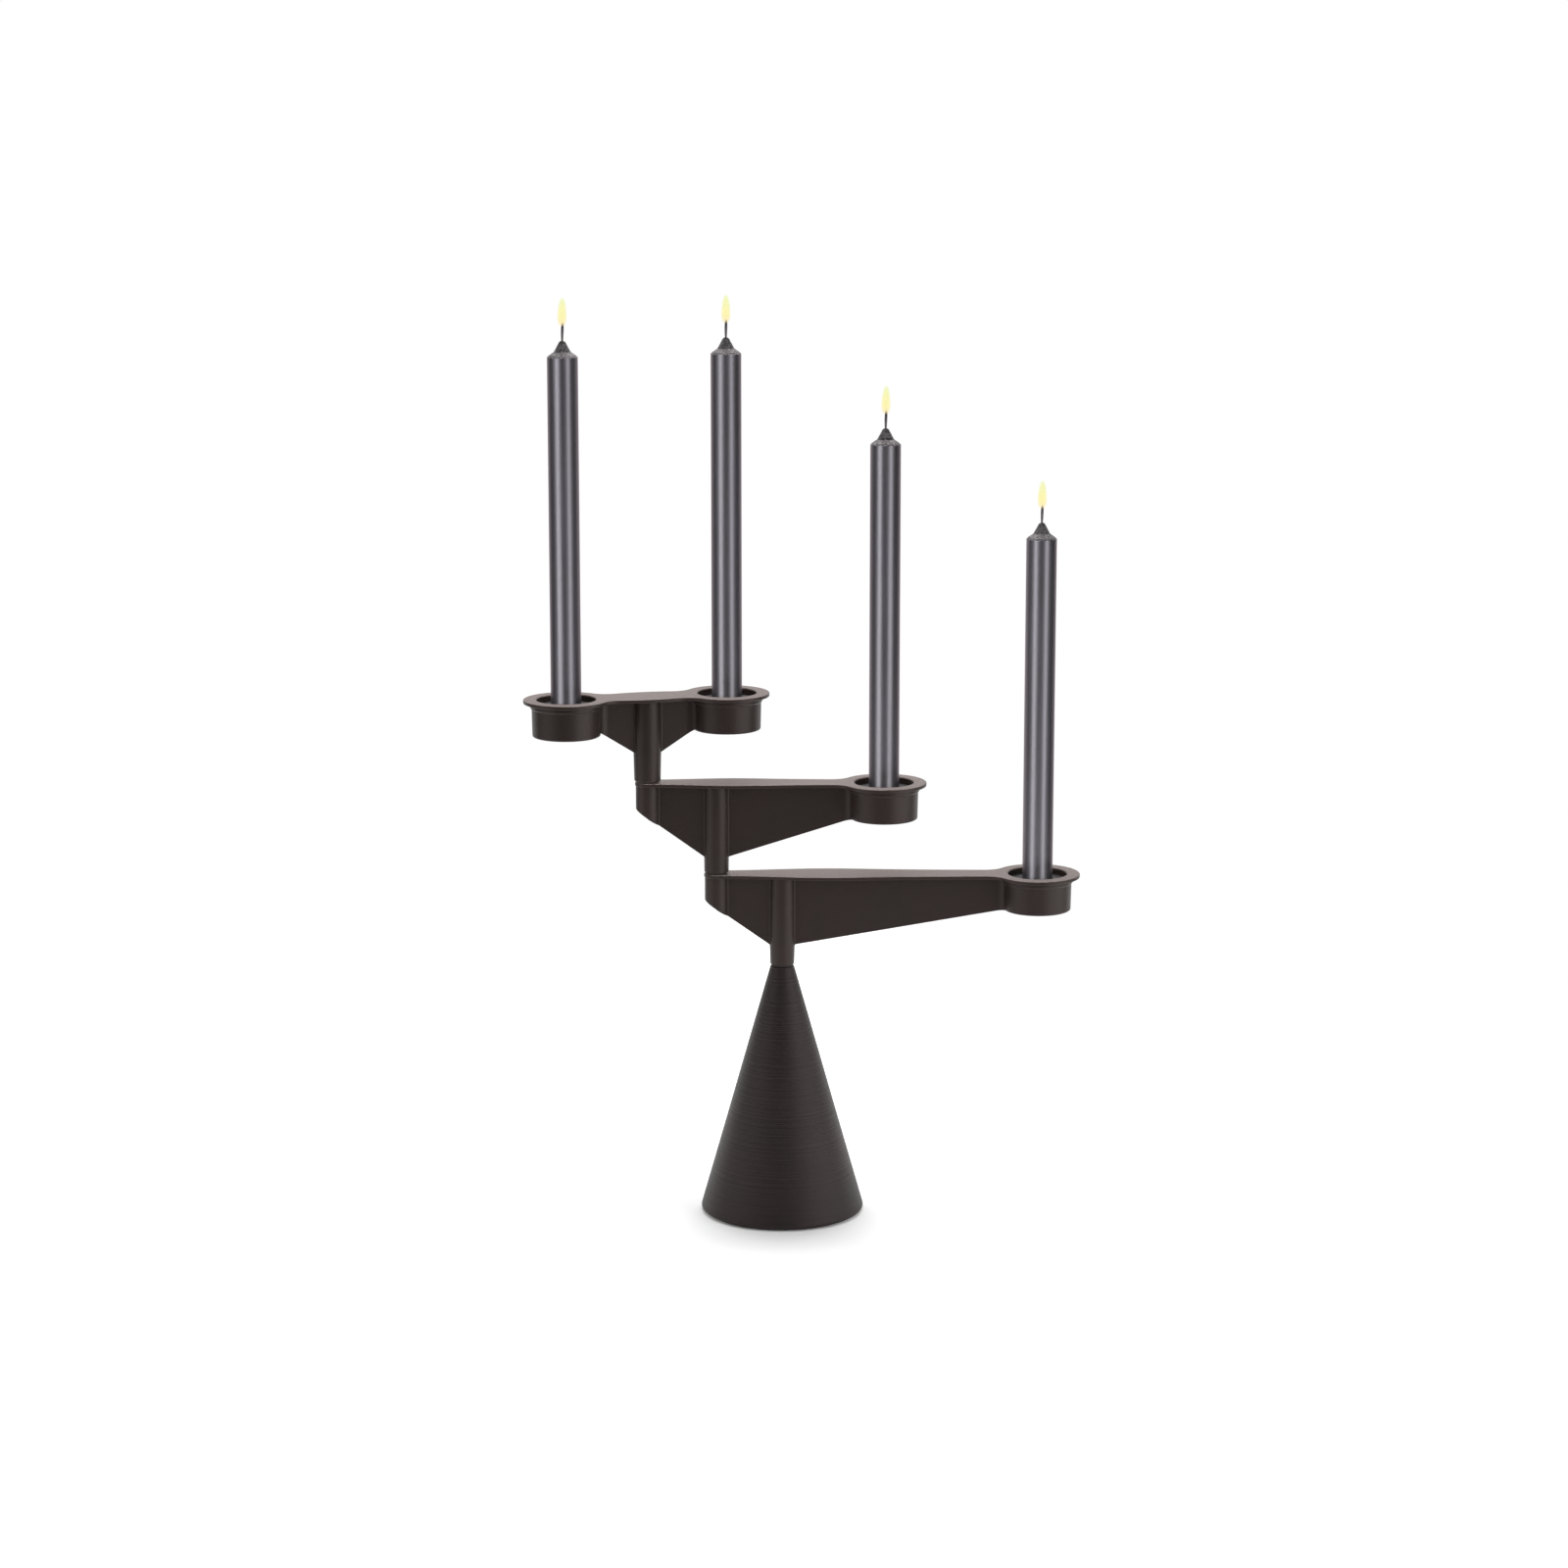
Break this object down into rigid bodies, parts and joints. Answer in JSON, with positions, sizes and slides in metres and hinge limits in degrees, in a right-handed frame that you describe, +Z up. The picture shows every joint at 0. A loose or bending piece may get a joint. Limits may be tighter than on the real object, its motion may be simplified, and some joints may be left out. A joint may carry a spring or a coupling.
{
  "type": "candelabra",
  "caption": "Tabletop candelabra: a weighted cone carries stacked swivelling cast arms whose round cups hold dinner candles.",
  "frame": {"origin": "centre of the felt pad's underside, on the table, on the cone's axis", "axes": "+Z up along the cone's axis; +X towards the lower arm's cup; the viewer stands at -Y"},
  "size_m": [0.4042, 0.1196, 0.6567],
  "materials": {
    "cone_coating": "dark brown satin coating over fine turning marks",
    "arm_coating": "dark brown satin coating on a fine cast skin",
    "socket_finish": "dark anodised, turned",
    "candle_wax": "dark grey wax with a pearl lacquer",
    "wick_cotton": "braided cotton, charred at the top",
    "raw_iron": "rough cast",
    "zinc_steel": "zinc plated",
    "ground_steel": "ground",
    "bronze": "sintered bronze, oiled",
    "nylon": "black nylon",
    "felt": "pressed wool felt"
  },
  "bodies": {
    "base": {"base_cone": "cone_coating", "base_weight": "raw_iron", "weight_tie_bolt": "zinc_steel", "weight_washer": "zinc_steel", "closing_plate": "zinc_steel", "closing_plate_screws": "zinc_steel", "felt_pad": "felt", "lower_pivot_bush": "bronze", "lower_thrust_washer": "nylon"},
    "lower_arm": {"lower_arm": "arm_coating", "lower_pivot_pin": "ground_steel", "lower_socket": "socket_finish", "lower_socket_screw": "zinc_steel", "middle_pivot_bush": "bronze", "middle_thrust_washer": "nylon"},
    "lower_candle": {"lower_candle": "candle_wax", "lower_wick": "wick_cotton"},
    "middle_arm": {"middle_arm": "arm_coating", "middle_pivot_pin": "ground_steel", "middle_socket": "socket_finish", "middle_socket_screw": "zinc_steel", "upper_pivot_bush": "bronze", "upper_thrust_washer": "nylon"},
    "middle_candle": {"middle_candle": "candle_wax", "middle_wick": "wick_cotton"},
    "upper_arm": {"upper_arm": "arm_coating", "upper_pivot_pin": "ground_steel", "upper_left_socket": "socket_finish", "upper_left_socket_screw": "zinc_steel", "upper_right_socket": "socket_finish", "upper_right_socket_screw": "zinc_steel"},
    "upper_left_candle": {"upper_left_candle": "candle_wax", "upper_left_wick": "wick_cotton"},
    "upper_right_candle": {"upper_right_candle": "candle_wax", "upper_right_wick": "wick_cotton"}
  },
  "joints": [
    {"name": "lower_swivel", "type": "hinge", "parent": "base", "child": "lower_arm", "pos_m": [0, 0, 0.1855], "axis": [0, 0, 1], "continuous": true},
    {"name": "lower_candle_lift", "type": "slide", "parent": "lower_arm", "child": "lower_candle", "axis": [0, 0, 1], "range_m": [0, 0.025]},
    {"name": "middle_swivel", "type": "hinge", "parent": "lower_arm", "child": "middle_arm", "pos_m": [-0.048, 0, 0.2547], "axis": [0, 0, 1], "continuous": true},
    {"name": "middle_candle_lift", "type": "slide", "parent": "middle_arm", "child": "middle_candle", "axis": [0, 0, 1], "range_m": [0, 0.025]},
    {"name": "upper_swivel", "type": "hinge", "parent": "middle_arm", "child": "upper_arm", "pos_m": [-0.098, 0, 0.3226], "axis": [0, 0, 1], "continuous": true},
    {"name": "upper_left_candle_lift", "type": "slide", "parent": "upper_arm", "child": "upper_left_candle", "axis": [0, 0, 1], "range_m": [0, 0.025]},
    {"name": "upper_right_candle_lift", "type": "slide", "parent": "upper_arm", "child": "upper_right_candle", "axis": [0, 0, 1], "range_m": [0, 0.025]}
  ]
}
